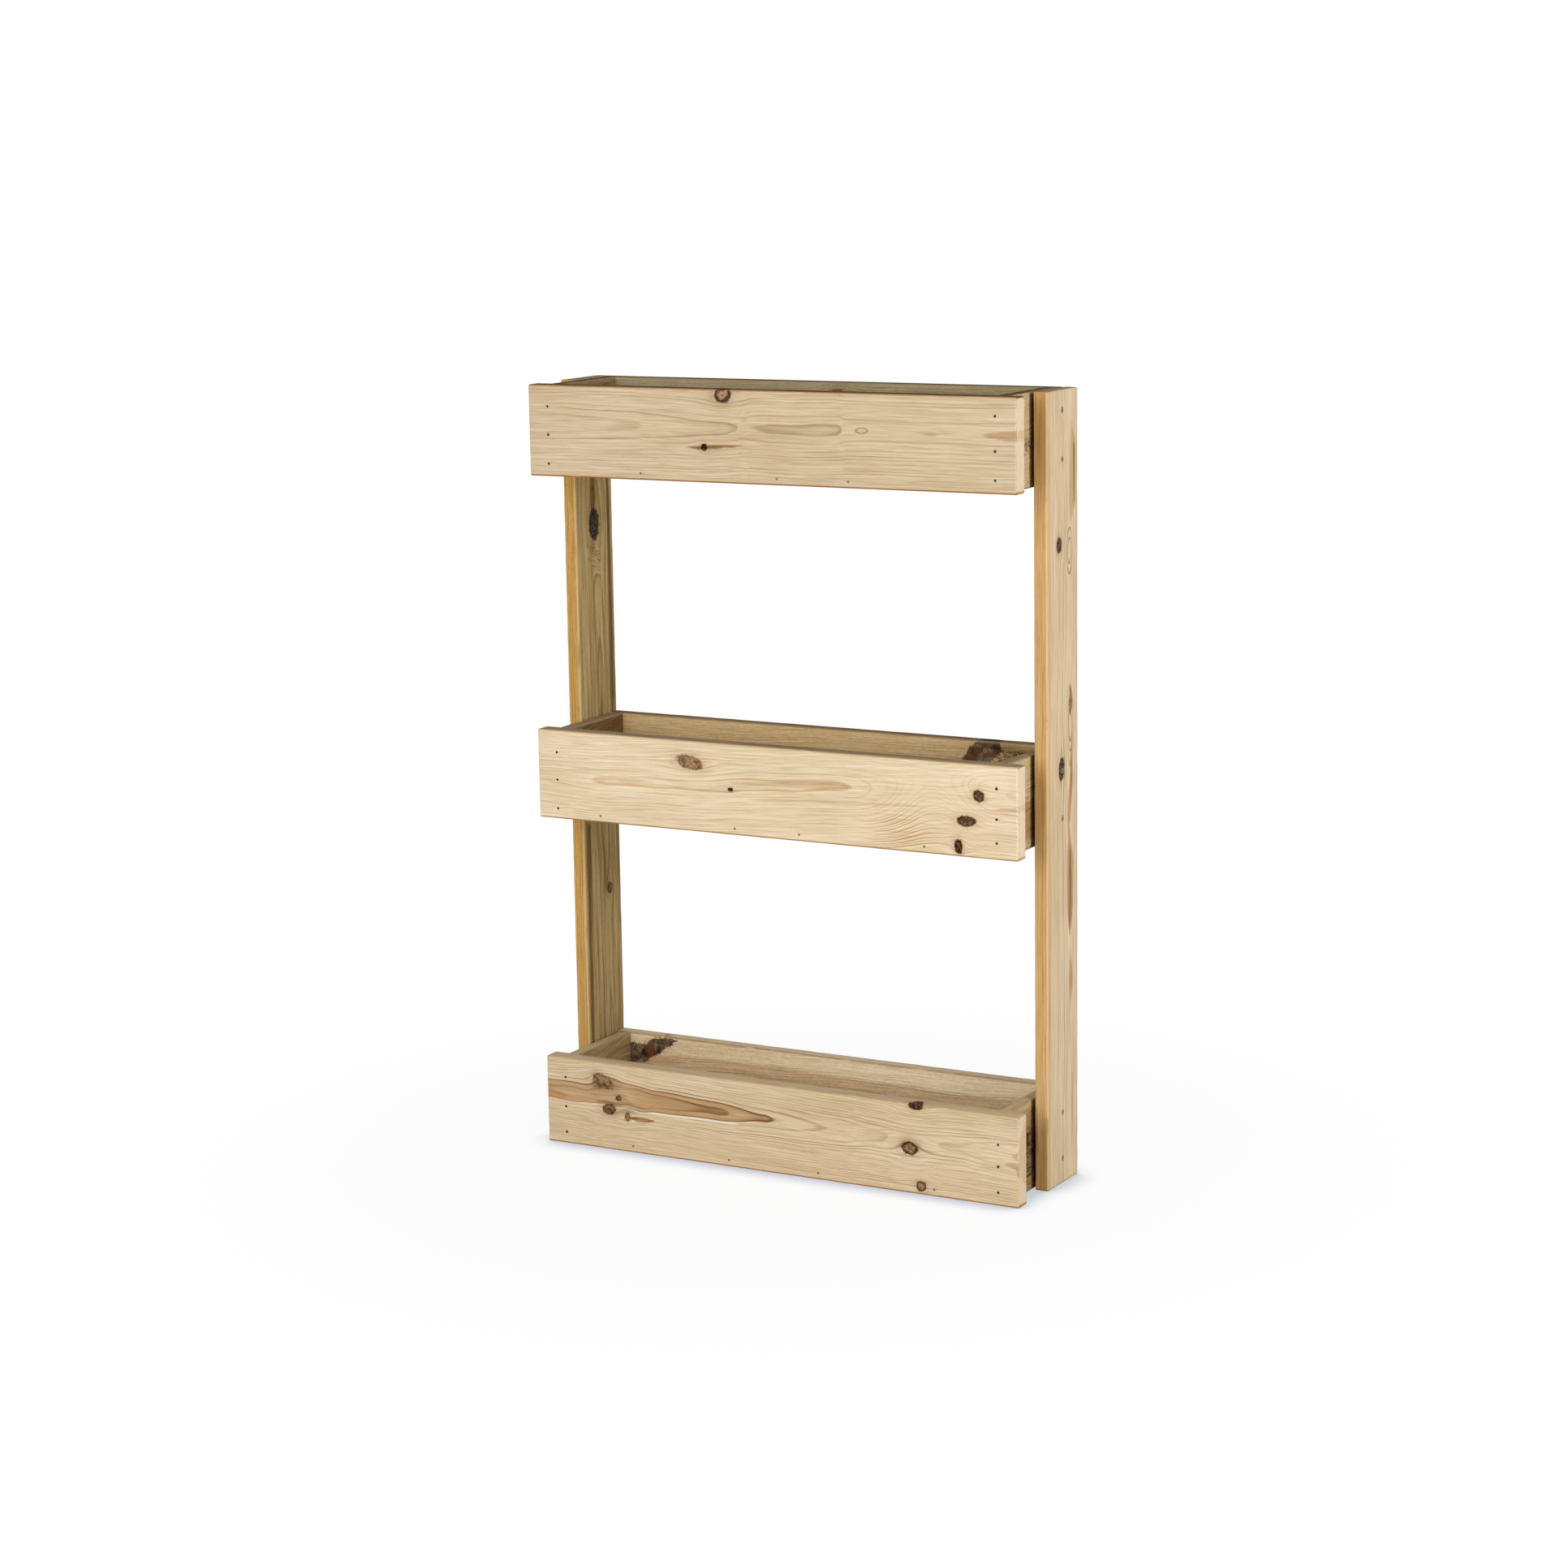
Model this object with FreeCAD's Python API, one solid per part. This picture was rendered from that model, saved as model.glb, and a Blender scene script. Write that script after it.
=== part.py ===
import FreeCAD, Part
import os
from math import tan, radians
from FreeCAD import Vector

# Vertical wooden planter: three plant troughs between two upright posts.
# Millimetres, +Z up, front towards -Y. The origin is on the ground, at the
# middle of the width and of the depth.

# Overall
DEPTH = 205.0
MIDDLE_DROP = 5.0           # the middle trough hangs this far under the exact middle

# Posts: upright planks, thin edge to the front
POST_HEIGHT = 1200.0
POST_THICKNESS = 22.0
POST_WIDTH = 108.0
POST_REVEAL = 3.0           # how far a post stands out past the ends of the front boards

# Trough boards
FRONT_LENGTH = 826.0
FRONT_THICKNESS = 28.0
BACK_THICKNESS = 22.0
END_THICKNESS = 20.0
BOARD_HEIGHT = 140.0
POST_GAP = 5.0              # slit between an end board and its post
SLAT_THICKNESS = 20.0
DRAIN_GAP = 8.0             # slit between the two floor slats
EDGE_RADIUS = 3.5           # planed arrises along the grain

# Nails: small flat head, set a little under the face of the board
NAIL_LENGTH = 55.0
NAIL_DIAMETER = 2.4
NAIL_HEAD_DIAMETER = 4.0
NAIL_HEAD_THICKNESS = 1.2
NAIL_POINT_LENGTH = 4.0
NAIL_SET = 0.4
FRONT_NAIL_HEIGHT_SHARES = {                        # of the board height, at the left and the right end
    "top": ((0.14, 0.455, 0.765), (0.14, 0.44, 0.8)),
    "middle": ((0.115, 0.44, 0.75), (0.175, 0.43, 0.755)),
    "bottom": ((0.13, 0.43, 0.77), (0.145, 0.43, 0.67)),
}
BACK_NAIL_HEIGHT_SHARES = (0.18, 0.52, 0.92)        # of the board height
END_NAIL_SLAT_SHARES = (0.55, 0.85)                 # of a slat's width, from the board it is nailed to
FLOOR_NAIL_SHARES = {                               # of half the front board's length
    "top": (-0.52, 0.05, 0.34),
    "middle": (-0.73, -0.15, 0.12, 0.63),
    "bottom": (-0.62, -0.2, 0.18, 0.66),
}

# Screws: countersunk head with a cross recess, through a post into an end board
SCREW_BITE = 14.0           # length held by the end board
SCREW_DIAMETER = 4.5
SCREW_HEAD_DIAMETER = 8.5
SCREW_HEAD_ANGLE = 90.0     # degrees, full angle of the countersink
SCREW_POINT_LENGTH = 5.0
SCREW_SET = 0.4
SCREW_RECESS_DEPTH = 1.6
SCREW_RECESS_SPAN_SHARE = 0.6                       # of the head's diameter
SCREW_RECESS_WIDTH_SHARE = 0.16
SCREW_HEIGHT_SHARES = (0.275, 0.79)                 # of the board height

FASTENER_CLEARANCE = 0.05   # all round a nail or screw in its hole
OVERRUN = 1.0               # how far a cut runs past the face that it opens

# Places that follow from the sizes above
FRONT_FACE = -DEPTH / 2
FRONT_INSIDE = FRONT_FACE + FRONT_THICKNESS
REAR_FACE = DEPTH / 2
BACK_INSIDE = REAR_FACE - BACK_THICKNESS
POST_FRONT = REAR_FACE - POST_WIDTH
POST_MIDDLE = REAR_FACE - POST_WIDTH / 2
POST_OUTSIDE = FRONT_LENGTH / 2 + POST_REVEAL
POST_INSIDE = POST_OUTSIDE - POST_THICKNESS
END_OUTSIDE = POST_INSIDE - POST_GAP
END_INSIDE = END_OUTSIDE - END_THICKNESS
END_MIDDLE = END_OUTSIDE - END_THICKNESS / 2
SLAT_WIDTH = (BACK_INSIDE - FRONT_INSIDE - DRAIN_GAP) / 2
TOP_TROUGH = POST_HEIGHT - BOARD_HEIGHT
TROUGH_BOTTOMS = {
    "top": TOP_TROUGH,
    "middle": TOP_TROUGH / 2 - MIDDLE_DROP,
    "bottom": 0.0,
}

# Directions in which fasteners are driven, and the grain of the boards
TO_BACK = Vector(0, 1, 0)
TO_FRONT = Vector(0, -1, 0)
TO_RIGHT = Vector(1, 0, 0)
TO_LEFT = Vector(-1, 0, 0)
UPWARD = Vector(0, 0, 1)
DOWNWARD = Vector(0, 0, -1)


def board(x_span, y_span, z_span, grain):
    """A sawn and planed board between two corners, its four edges along the grain rounded."""
    low = Vector(x_span[0], y_span[0], z_span[0])
    size = Vector(x_span[1], y_span[1], z_span[1]) - low
    solid = Part.makeBox(size.x, size.y, size.z, low)
    edges = [edge for edge in solid.Edges if round(abs(edge.tangentAt(edge.FirstParameter).dot(grain)))]
    radius = min(EDGE_RADIUS, size.x / 4, size.y / 4, size.z / 4)
    return solid.makeFillet(radius, edges)


def turned(outline):
    """A solid of revolution about Z from its half outline of (radius, height) points."""
    points = [Vector(radius, 0, height) for radius, height in outline]
    wire = Part.makePolygon(points + [points[0]])
    return Part.Face(wire).revolve(Vector(0, 0, 0), UPWARD, 360)


def nail_outline(clearance, mouth):
    """Half outline of a nail with its face at height 0 and its point downwards.

    A clearance and a mouth above the face give the outline of its hole."""
    head = NAIL_HEAD_DIAMETER / 2 + clearance
    shank = NAIL_DIAMETER / 2 + clearance
    return [
        (0, mouth - NAIL_SET),
        (head, mouth - NAIL_SET),
        (head, -NAIL_SET - NAIL_HEAD_THICKNESS),
        (shank, -NAIL_SET - NAIL_HEAD_THICKNESS),
        (shank, -NAIL_SET - NAIL_LENGTH + NAIL_POINT_LENGTH),
        (0, -NAIL_SET - NAIL_LENGTH - clearance),
    ]


def screw_outline(clearance, mouth):
    """Half outline of a countersunk screw, or of its hole, as for a nail."""
    head = SCREW_HEAD_DIAMETER / 2 + clearance
    shank = SCREW_DIAMETER / 2 + clearance
    head_height = (head - shank) / tan(radians(SCREW_HEAD_ANGLE / 2))
    tip = -POST_THICKNESS - POST_GAP - SCREW_BITE
    return [
        (0, mouth - SCREW_SET),
        (head, mouth - SCREW_SET),
        (head, -SCREW_SET),
        (shank, -SCREW_SET - head_height),
        (shank, tip + SCREW_POINT_LENGTH),
        (0, tip - clearance),
    ]


def screw_recess():
    """The cross recess in a screw's head."""
    span = SCREW_HEAD_DIAMETER * SCREW_RECESS_SPAN_SHARE
    width = SCREW_HEAD_DIAMETER * SCREW_RECESS_WIDTH_SHARE
    floor = -SCREW_SET - SCREW_RECESS_DEPTH
    depth = SCREW_RECESS_DEPTH + OVERRUN
    across = Part.makeBox(span, width, depth, Vector(-span / 2, -width / 2, floor))
    along = Part.makeBox(width, span, depth, Vector(-width / 2, -span / 2, floor))
    return across.fuse(along)


NAIL = turned(nail_outline(0, 0))
NAIL_HOLE = turned(nail_outline(FASTENER_CLEARANCE, NAIL_SET + OVERRUN))
SCREW = turned(screw_outline(0, 0)).cut(screw_recess())
SCREW_HOLE = turned(screw_outline(FASTENER_CLEARANCE, SCREW_SET + OVERRUN))


def driven(fastener, places):
    """Copies of a fastener, each driven in at a point of a face, in a direction."""
    copies = []
    for point, direction in places:
        one = fastener.copy()
        one.Placement = FreeCAD.Placement(point, FreeCAD.Rotation(DOWNWARD, direction))
        copies.append(one)
    return copies


def wall_nail_places(name, bottom, face, direction, left_shares, right_shares):
    """Nails through a front or back board: three into each end board, and a row into its slat."""
    places = []
    for x, height_shares in ((-END_MIDDLE, left_shares), (END_MIDDLE, right_shares)):
        for share in height_shares:
            places.append((Vector(x, face, bottom + BOARD_HEIGHT * share), direction))
    for share in FLOOR_NAIL_SHARES[name]:
        x = FRONT_LENGTH / 2 * share
        places.append((Vector(x, face, bottom + SLAT_THICKNESS / 2), direction))
    return places


def end_nail_places(bottom):
    """Nails through the end boards into the ends of the two slats."""
    places = []
    z = bottom + SLAT_THICKNESS / 2
    for share in END_NAIL_SLAT_SHARES:
        for y in (FRONT_INSIDE + SLAT_WIDTH * share, BACK_INSIDE - SLAT_WIDTH * share):
            places.append((Vector(-END_OUTSIDE, y, z), TO_RIGHT))
            places.append((Vector(END_OUTSIDE, y, z), TO_LEFT))
    return places


def screw_places(bottom):
    """Two screws through each post, from outside."""
    places = []
    for share in SCREW_HEIGHT_SHARES:
        z = bottom + BOARD_HEIGHT * share
        places.append((Vector(-POST_OUTSIDE, POST_MIDDLE, z), TO_RIGHT))
        places.append((Vector(POST_OUTSIDE, POST_MIDDLE, z), TO_LEFT))
    return places


def trough(name, bottom):
    """The boards and fasteners of one trough, and the holes that its screws need."""
    height = (bottom, bottom + BOARD_HEIGHT)
    floor = (bottom, bottom + SLAT_THICKNESS)
    half_front = FRONT_LENGTH / 2
    inside_depth = (FRONT_INSIDE, BACK_INSIDE)
    boards = {
        "front_board": board((-half_front, half_front), (FRONT_FACE, FRONT_INSIDE), height, TO_RIGHT),
        "back_board": board((-POST_INSIDE, POST_INSIDE), (BACK_INSIDE, REAR_FACE), height, TO_RIGHT),
        "left_end_board": board((-END_OUTSIDE, -END_INSIDE), inside_depth, height, TO_BACK),
        "right_end_board": board((END_INSIDE, END_OUTSIDE), inside_depth, height, TO_BACK),
        "front_slat": board(
            (-END_INSIDE, END_INSIDE), (FRONT_INSIDE, FRONT_INSIDE + SLAT_WIDTH), floor, TO_RIGHT
        ),
        "rear_slat": board(
            (-END_INSIDE, END_INSIDE), (BACK_INSIDE - SLAT_WIDTH, BACK_INSIDE), floor, TO_RIGHT
        ),
    }
    nails = {
        "front_nails": wall_nail_places(
            name, bottom, FRONT_FACE, TO_BACK, *FRONT_NAIL_HEIGHT_SHARES[name]
        ),
        "back_nails": wall_nail_places(
            name, bottom, REAR_FACE, TO_FRONT, BACK_NAIL_HEIGHT_SHARES, BACK_NAIL_HEIGHT_SHARES
        ),
        "end_nails": end_nail_places(bottom),
    }
    nail_holes = []
    for places in nails.values():
        nail_holes += driven(NAIL_HOLE, places)
    screws = screw_places(bottom)
    screw_holes = driven(SCREW_HOLE, screws)
    holes = Part.makeCompound(nail_holes + screw_holes)

    pieces = {f"{name}_{part}": solid.cut(holes) for part, solid in boards.items()}
    for part, places in nails.items():
        pieces[f"{name}_{part}"] = Part.makeCompound(driven(NAIL, places))
    pieces[f"{name}_post_screws"] = Part.makeCompound(driven(SCREW, screws))
    return pieces, screw_holes


nodes = {}
post_holes = []
for trough_name, trough_bottom in TROUGH_BOTTOMS.items():
    trough_pieces, trough_screw_holes = trough(trough_name, trough_bottom)
    nodes.update(trough_pieces)
    post_holes += trough_screw_holes

post_depth = (POST_FRONT, REAR_FACE)
left_post = board((-POST_OUTSIDE, -POST_INSIDE), post_depth, (0, POST_HEIGHT), UPWARD)
right_post = board((POST_INSIDE, POST_OUTSIDE), post_depth, (0, POST_HEIGHT), UPWARD)
nodes["left_post"] = left_post.cut(Part.makeCompound(post_holes))
nodes["right_post"] = right_post.cut(Part.makeCompound(post_holes))

os.makedirs("parts", exist_ok=True)
for node, shape in nodes.items():
    shape.exportStep(f"parts/{node}.step")
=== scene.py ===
import math

import bpy
import numpy as np
from mathutils import Matrix, Vector


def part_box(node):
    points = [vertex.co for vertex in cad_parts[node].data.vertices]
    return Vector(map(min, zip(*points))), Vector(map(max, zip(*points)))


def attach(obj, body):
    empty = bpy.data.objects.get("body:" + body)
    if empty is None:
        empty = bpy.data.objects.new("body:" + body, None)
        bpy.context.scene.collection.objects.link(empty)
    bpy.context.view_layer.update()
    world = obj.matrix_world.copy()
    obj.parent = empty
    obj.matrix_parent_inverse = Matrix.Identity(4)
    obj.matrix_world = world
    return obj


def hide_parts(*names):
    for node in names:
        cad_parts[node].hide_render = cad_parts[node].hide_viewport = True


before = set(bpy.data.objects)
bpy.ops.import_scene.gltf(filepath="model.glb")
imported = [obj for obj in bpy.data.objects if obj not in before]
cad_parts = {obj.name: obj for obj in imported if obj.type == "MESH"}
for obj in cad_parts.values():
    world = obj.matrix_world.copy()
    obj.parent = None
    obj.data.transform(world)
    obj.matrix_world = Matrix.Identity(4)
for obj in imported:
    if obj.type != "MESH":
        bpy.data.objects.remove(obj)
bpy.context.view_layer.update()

# Front boards: one thick planed pine plank across the front of each trough, flat sawn, so that
# the growth rings run out in long arches between the knots. Each is nailed from the front into
# the two end boards and the front floor slat.
MM = 0.001
TROUGHS = ("top", "middle", "bottom")
ALONG_X = (0, 2, 1)           # grain along X, width up Z, thickness through Y
FRONT_STEP = 6 * MM           # mesh spacing on the plain parts of a front board

# Knots are (along, across, half length, half width, tilt, darkness, dark rim), in millimetres and
# radians from the left end and the lower edge
FRONT_KNOTS = {
    "top": [(344, 133, 13.5, 11.5, 0.5, 0.2, 1), (310, 53, 5, 5, 0, 1, 0.9)],
    "middle": [
        (274, 107, 23, 10, -0.15, 0.35, 0.3), (345, 70, 4.5, 3, 0, 0.95, 0.8),
        (763, 93, 9, 8, -0.6, 0.9, 0.6), (743, 54, 15, 7.5, 0, 0.85, 0.6), (730, 15, 6.5, 11, 0.1, 1, 0.6),
    ],
    "bottom": [
        (103, 109, 19, 11, -0.3, 0.4, 0.3), (132, 85, 5.5, 5, 0, 0.75, 0.3),
        (114, 65, 12, 9, 0.1, 0.7, 0.3), (148, 57, 5, 7, 0, 0.5, 0.3), (656, 138, 12, 7, 0, 1, 0.6),
        (645, 70, 12.5, 9.5, -0.1, 0.3, 1), (664, 13, 8, 7.5, 0, 0.35, 0.85),
    ],
}
# Streaks are (tint, strength, [(along, across, half width), ...])
FRONT_STREAKS = {
    "top": [
        ("heart", 1.0, [(284, 52, 1), (300, 52, 3), (330, 54, 3), (350, 56, 2), (378, 57, 0.5)]),
        ("stain_and_shade", 0.52, [(286, 52, 0.5), (300, 52, 2.5), (330, 54, 2.5), (364, 56, 0.5)]),
        ("heart", 0.6, [(662, 85, 0.5), (686, 84, 4), (706, 84, 2), (722, 85, 0.5)]),
        ("heart", 0.66, [(764, 84, 0.5), (790, 84, 5), (812, 83, 9), (826, 84, 10)]),
    ],
    "middle": [
        ("heart", 0.56, [(330, 80, 0.5), (400, 83, 4), (480, 87, 7), (530, 89, 5), (567, 90, 0.5)]),
        ("heart", 0.55, [(345, 56, 0.5), (430, 60, 3), (500, 64, 3.5), (600, 68, 2.5), (720, 72, 0.5)]),
        ("heart", 0.6, [(784, 74, 0.5), (808, 75, 4), (826, 77, 6)]),
    ],
    "bottom": [
        ("stain_and_shade", 0.42, [(74, 90, 2), (100, 92, 24), (128, 80, 28), (165, 70, 8), (200, 66, 1)]),
        ("heart", 0.9, [(150, 56, 1), (165, 55, 4), (190, 55, 3), (200, 56, 0.5)]),
        ("stain_and_shade", 0.56, [(150, 56, 1), (165, 55, 4), (190, 55, 3), (198, 56, 0.5)]),
        ("honey", 0.7, [(0, 77, 5), (20, 77, 4), (40, 77, 0.5)]),
        ("heart", 0.62, [(798, 66, 0.5), (812, 66, 4), (822, 64, 7), (826, 56, 16)]),
    ],
}
# The log's middle: its height at the left and right end, its distance behind the front face, and
# how that distance changes along the board. Hills bend the rings near a branch (along, across,
# reach along, reach across, height, how much darker the lines are), and flame is how brown the
# heartwood is along the board
FRONT_HEARTS = {
    "top": dict(
        low=82, high=86, behind=74,
        rises=[
            (0, -4.6), (140, -3.3), (187, -2.85), (212, -2.3), (300, -1.2), (345, -0.9), (364, -0.25),
            (379, 0.6), (390, 0), (430, -0.35), (500, -0.6), (536, -0.35), (552, 0.6), (625, 0.9),
            (720, 0.9), (826, 0.6),
        ],
        hills=[(577, 85, 12, 6, -1.6, 0.3)],
    ),
    "middle": dict(
        low=66, high=97, behind=72,
        rises=[
            (0, 1.6), (150, -0.25), (230, -0.5), (330, -0.8), (450, -0.7), (530, -0.45), (556, -0.25),
            (610, 0.8), (826, 1.5),
        ],
        hills=[(690, 60, 66, 70, 20, 0), (638, 26, 42, 28, 0, 4.5), (640, 115, 80, 34, 0, -0.8)],
    ),
    "bottom": dict(
        low=88, high=80, behind=66,
        rises=[
            (0, -1.7), (60, -2.4), (115, -4.7), (160, -4), (200, -2.5), (307, -1.6), (395, -0.16),
            (415, 0.2), (520, 1.64), (585, 3.4), (645, 5.2), (720, 3.6), (800, 1.8), (826, 1.2),
        ],
        hills=[(110, 60, 40, 30, 3, 0), (270, 92, 130, 26, 0, 1.3)],
        flame=[(0, 0.85), (150, 0.85), (170, 1), (330, 1), (360, 0.85)],
    ),
}
# Drying cracks are (end, across, length, depth)
FRONT_CRACKS = {
    "top": [(826, 58, 34, 0.9), (0, 96, 22, 0.8)],
    "middle": [(0, 47, 40, 0.9)],
    "bottom": [(826, 33, 28, 0.9), (0, 22, 36, 0.9)],
}
TOP_GREY_AND_SHADE = {"top": 1.0, "middle": 0.75, "bottom": 0.18}   # how grey the upper edges have turned, with painted shade that darkens them, strongest on the top trough


def eased(value, low, high):
    """0 at low, 1 at high, with a smooth step between; low may be the larger."""
    share = np.clip((value - low) / (high - low), 0, 1)
    return share * share * (3 - 2 * share)


def slow_waves(place, seed, shortest, count=5):
    """A smooth random line between -1 and 1 along a board, from a few sines."""
    draw = np.random.default_rng(seed)
    total = np.zeros_like(place)
    for number in range(1, count + 1):
        start = draw.uniform(0, 2 * math.pi)
        total += np.sin(place * 2 * math.pi * number / (count * shortest) + start)
    return total / count


def between(place, points):
    """Values at points (place, value) joined by smooth steps."""
    spots = np.array([point[0] for point in points])
    values = np.array([point[1] for point in points])
    after = np.clip(np.searchsorted(spots, place), 1, len(spots) - 1)
    share = eased(place, spots[after - 1], spots[after])
    return values[after - 1] + (values[after] - values[after - 1]) * share


def metres(rows, lengths):
    """Rows whose first few values are millimetres, with those in metres."""
    return [tuple(value * MM if at < lengths else value for at, value in enumerate(row)) for row in rows]


HEAD_REACH = 9 * MM           # the points of one nail or screw lie within this, across its length
FACE_REACH = 2 * MM           # a head this near to a board's side was driven into that side


def driven_heads(node, axis):
    """The heads of a node's nails or screws, from its solids: (place, outward sign, radius, length)."""
    points = np.array([corner.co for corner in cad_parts[node].data.vertices])
    across = [side for side in range(3) if side != axis]
    heads = []
    left = np.ones(len(points), bool)
    while left.any():
        first = points[left][0]
        sign = np.sign(first[axis])
        same = left & (np.abs(points[:, across] - first[across]).max(axis=1) < HEAD_REACH)
        same &= np.sign(points[:, axis]) == sign
        low, high = points[same].min(axis=0), points[same].max(axis=0)
        place = (low + high) / 2
        place[axis] = high[axis] if sign > 0 else low[axis]
        heads.append((place, sign, (high - low)[across[0]] / 2, (high - low)[axis]))
        left &= ~same
    return heads


def heads_on(board, fasteners, axes):
    """The fasteners driven into a board's broad side, as (along, across, side, radius)."""
    low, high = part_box(board)
    found = []
    for place, sign, radius, _ in driven_heads(fasteners, axes[2]):
        face = high[axes[2]] if sign > 0 else low[axes[2]]
        if abs(place[axes[2]] - face) < FACE_REACH:
            found.append((place[axes[0]] - low[axes[0]], place[axes[1]] - low[axes[1]], sign, radius))
    return found


FINE_STEP = 0.85 * MM         # closest mesh lines around a knot or a nail
RIM_SHARES = np.array([0, 0.13, 0.42, 1, 1.4])   # mesh lines at an edge, by its easing


def grid_lines(length, rim, step, spots):
    """Mesh lines along one side of a board: even, closer at its edges and around each spot."""
    edge = rim * RIM_SHARES
    inner = list(np.linspace(edge[-1], length - edge[-1], max(2, round(length / step)))[1:-1])
    for middle, half, shares in spots:
        inner += list(middle + half * shares)
    kept = list(edge)
    for place in sorted(inner):
        if kept[-1] + FINE_STEP < place < length - edge[-1] - FINE_STEP:
            kept.append(place)
    return np.array([*kept, *(length - edge[::-1])])


def box_grid(counts):
    """The six gridded sides of a block, as line numbers of its corners and as outward quads."""
    number = np.arange(np.prod(counts)).reshape(counts)
    quads = []
    for axis in range(3):
        for end in (0, -1):
            side = np.take(number, end, axis=axis)
            square = np.stack([side[:-1, :-1], side[1:, :-1], side[1:, 1:], side[:-1, 1:]], axis=-1)
            outward = (axis != 1) == (end == -1)
            quads.append((square if outward else square[..., ::-1]).reshape(-1, 4))
    used, quads = np.unique(np.concatenate(quads), return_inverse=True)
    return np.stack(np.unravel_index(used, counts), axis=-1), quads.reshape(-1, 4)


def mesh_piece(name, points, faces, layers=None):
    """A smooth mesh piece with its point layers."""
    mesh = bpy.data.meshes.new(name)
    mesh.from_pydata(points.tolist(), [], faces)
    for layer_name, values in (layers or {}).items():
        kind, field = ("FLOAT_COLOR", "color") if values.shape[1] == 4 else ("FLOAT_VECTOR", "vector")
        layer_data = mesh.attributes.new(layer_name, kind, "POINT").data
        layer_data.foreach_set(field, values.astype(np.float32).ravel())
    mesh.shade_smooth()
    piece = bpy.data.objects.new(name, mesh)
    bpy.context.scene.collection.objects.link(piece)
    return piece


TINY = MM * MM                # keeps a division clear of zero
ARRIS = 3.5 * MM              # largest easing of a long edge
ARRIS_SPREAD = 0.2            # share of that easing that comes and goes
ARRIS_WAVE = 40 * MM          # over what length
ARRIS_SEEDS = 7               # seed step from board to board, for the four arrises of each
SAWN_EDGE = 2.0 * MM          # easing of a sawn end


def eased_edges(rest, size, seed):
    """A block's corners drawn in to worn arrises along the grain and to eased sawn ends."""
    along, across, through = rest.T
    length, width, thick = size
    edge = seed * ARRIS_SEEDS + 2 * (across > width / 2) + 4 * (through > thick / 2)
    ease = np.zeros_like(along)
    for each in np.unique(edge):
        here = edge == each
        waves = slow_waves(along[here], each, ARRIS_WAVE)
        ease[here] = ARRIS * (1 - ARRIS_SPREAD + ARRIS_SPREAD * waves)
    inner = np.stack([np.clip(across, ease, width - ease), np.clip(through, ease, thick - ease)], axis=-1)
    out = rest[:, 1:] - inner
    reach = np.maximum(np.hypot(*out.T), TINY)
    section = inner + out * (np.abs(out).max(axis=1) / reach)[:, None]
    round_end = np.clip(SAWN_EDGE - np.minimum(along, length - along), 0, None)
    inset = SAWN_EDGE - np.sqrt(SAWN_EDGE ** 2 - round_end ** 2)
    middle = np.array([width, thick]) / 2
    return middle + (section - middle) * (1 - inset[:, None] / middle)


NO_KNOT = 9.0                 # distance where no knot is near, in knot radii
KNOT_RELIEF = 0.28 * MM
KNOT_GROOVE = 1.6             # depth of the groove round a knot, in reliefs
KNOT_GROOVE_WIDTH = 0.16      # in knot radii
KNOT_CROWN = 0.5              # how far the core stands up, in reliefs
KNOT_CROWN_REACH = (1.8, 0.6)   # where that starts and where it is full, in knot radii
BRANCH_LEAN = 0.8             # of a knot's half width, through the board
BRANCH_TAPER = 0.45
BEND = 0.82                   # how far the grain gives way to a knot
BEND_ALONG, BEND_ACROSS = 2.4, 2.2   # where it does so, in the knot's half sizes
BEND_MORE = 6 * MM            # and this much more along the grain


def knot_layers(rest, deep, knots):
    """How far each point is from the nearest knot (1 at its rim) with that knot's tones, how far the
    grain bends there, and the relief.

    deep is 0 to 1 through the board: a branch gets thinner and lower towards the log's middle."""
    nearest = np.full(len(rest), NO_KNOT)
    tones = np.zeros((len(rest), 2))
    bend = np.zeros(len(rest))
    sink = np.zeros(len(rest))
    for place, height, half_along, half_across, tilt, dark, rim in knots:
        off_along = rest[:, 0] - place
        off_across = rest[:, 1] - height + BRANCH_LEAN * half_across * deep
        turned_along = off_along * math.cos(tilt) + off_across * math.sin(tilt)
        turned_across = off_across * math.cos(tilt) - off_along * math.sin(tilt)
        away = np.hypot(turned_along / half_along, turned_across / half_across) / (1 - BRANCH_TAPER * deep)
        tones[away < nearest] = dark, rim
        nearest = np.minimum(nearest, away)
        reach_along = BEND_ALONG * half_along + BEND_MORE
        reach_across = BEND_ACROSS * half_across
        lens = np.exp(-(off_along / reach_along) ** 2 - (off_across / reach_across) ** 2)
        bend += off_across * BEND * lens
        groove = KNOT_GROOVE * np.exp(-((away - 1) / KNOT_GROOVE_WIDTH) ** 2)
        sink += KNOT_RELIEF * (groove - KNOT_CROWN * eased(away, *KNOT_CROWN_REACH))
    return np.column_stack([nearest, tones]), bend, sink


TINTS = ("heart", "bark", "stain_and_shade", "honey")
STREAK_EDGE = 1.6             # half widths from a streak's middle to where it is gone
STAIN_AND_SHADE_FADE = 0.6              # how much of a stain streak, and of the painted shade in the back corner, is gone on the board's other side


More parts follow.
